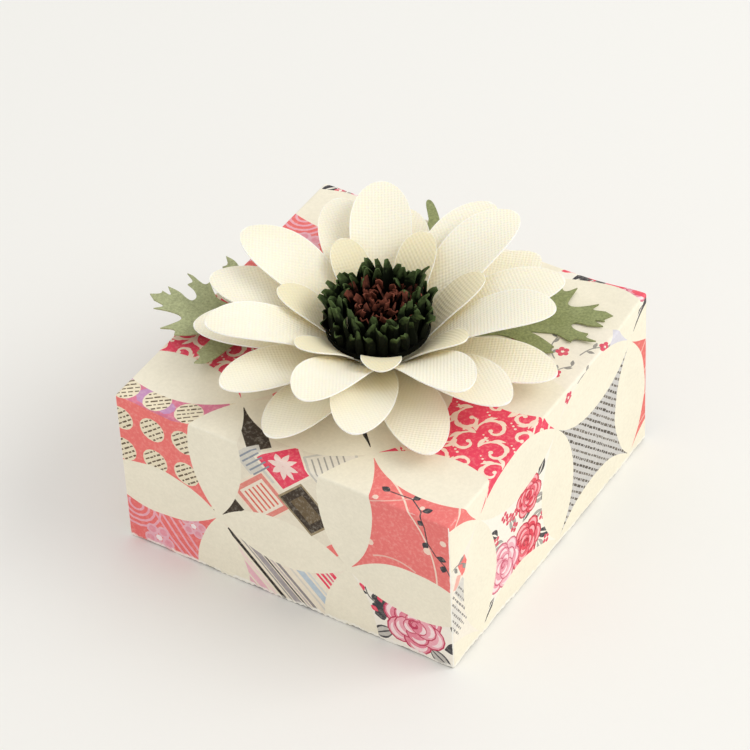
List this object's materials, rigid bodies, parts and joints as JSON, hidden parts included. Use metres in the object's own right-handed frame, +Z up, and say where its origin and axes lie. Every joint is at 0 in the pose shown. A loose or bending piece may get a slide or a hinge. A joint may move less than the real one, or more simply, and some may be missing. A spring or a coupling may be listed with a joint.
{
  "type": "origami gift box",
  "caption": "Square folded-paper gift box: a printed lid that lifts off a plain tray, with a layered card daisy, fringed centre and cut leaves on the lid.",
  "frame": {"origin": "middle of the tray's underside, on the table", "axes": "+Z up, the way the lid lifts off; +X and +Y square to the walls"},
  "size_m": [0.0799, 0.0757, 0.0506],
  "materials": {
    "ivory_paper": "matt",
    "printed_paper": "matt, printed",
    "leaf_card": "matt",
    "petal_card": "canvas-embossed, matt",
    "green_strip": "matt",
    "brown_strip": "matt"
  },
  "bodies": {
    "tray": {"tray": "ivory_paper"},
    "lid": {"lid": "printed_paper", "leaf_left": "leaf_card", "leaf_right": "leaf_card", "leaf_back": "leaf_card", "petals_bottom": "petal_card", "petals_middle": "petal_card", "petals_top": "petal_card", "petals_inner": "petal_card", "fringe_green": "green_strip", "fringe_brown": "brown_strip"}
  },
  "joints": [
    {"name": "lid_lift", "type": "slide", "parent": "tray", "child": "lid", "axis": [0, 0, 1], "range_m": [0, 0.045]}
  ]
}
